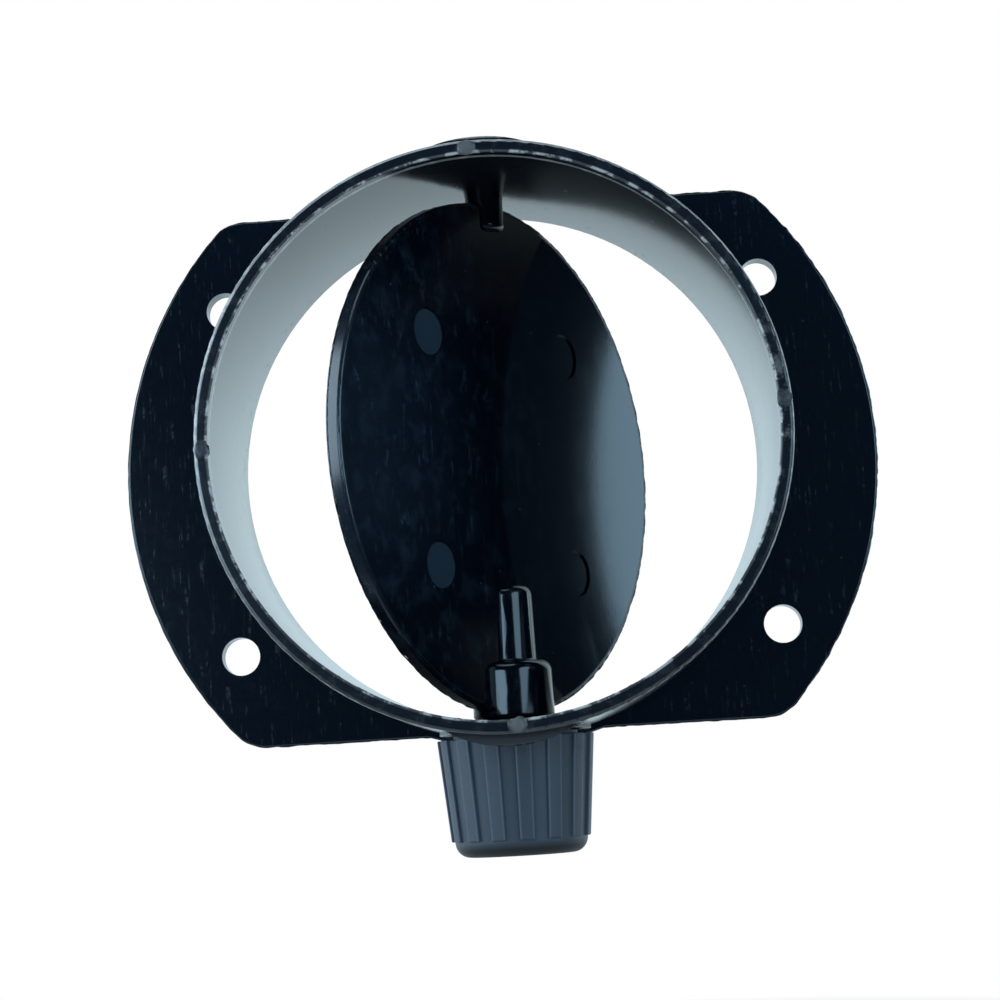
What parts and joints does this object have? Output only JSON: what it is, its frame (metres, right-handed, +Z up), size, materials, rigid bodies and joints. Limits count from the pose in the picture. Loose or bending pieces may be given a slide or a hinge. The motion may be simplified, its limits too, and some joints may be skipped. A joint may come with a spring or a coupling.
{
  "type": "heater duct connector",
  "caption": "Moulded air-duct connector with a round hose spigot on a flat-sided screw-on flange and a butterfly flap inside, turned by a ribbed knob underneath.",
  "frame": {"origin": "centre of the flange's back face, on the spigot's axis", "axes": "+Y out of the back of the flange, so the hose slides on along +Y; +Z up along the flap's pivot, with the knob at -Z; +X to the right seen from the hose side"},
  "size_m": [0.103, 0.0576, 0.0916],
  "materials": {
    "body_plastic": "glossy injection-moulded black",
    "flap_plastic": "glossy injection-moulded black, lightly scuffed",
    "knob_plastic": "satin dark blue-grey",
    "screw_steel": "zinc-plated steel"
  },
  "bodies": {
    "duct": {"duct_body": "body_plastic"},
    "flap": {"butterfly_flap": "flap_plastic", "control_knob": "knob_plastic", "retaining_screw": "screw_steel"}
  },
  "joints": [
    {"name": "flap_pivot", "type": "hinge", "parent": "duct", "child": "flap", "pos_m": [0, -0.011, 0], "axis": [0, 0, 1], "continuous": true}
  ]
}
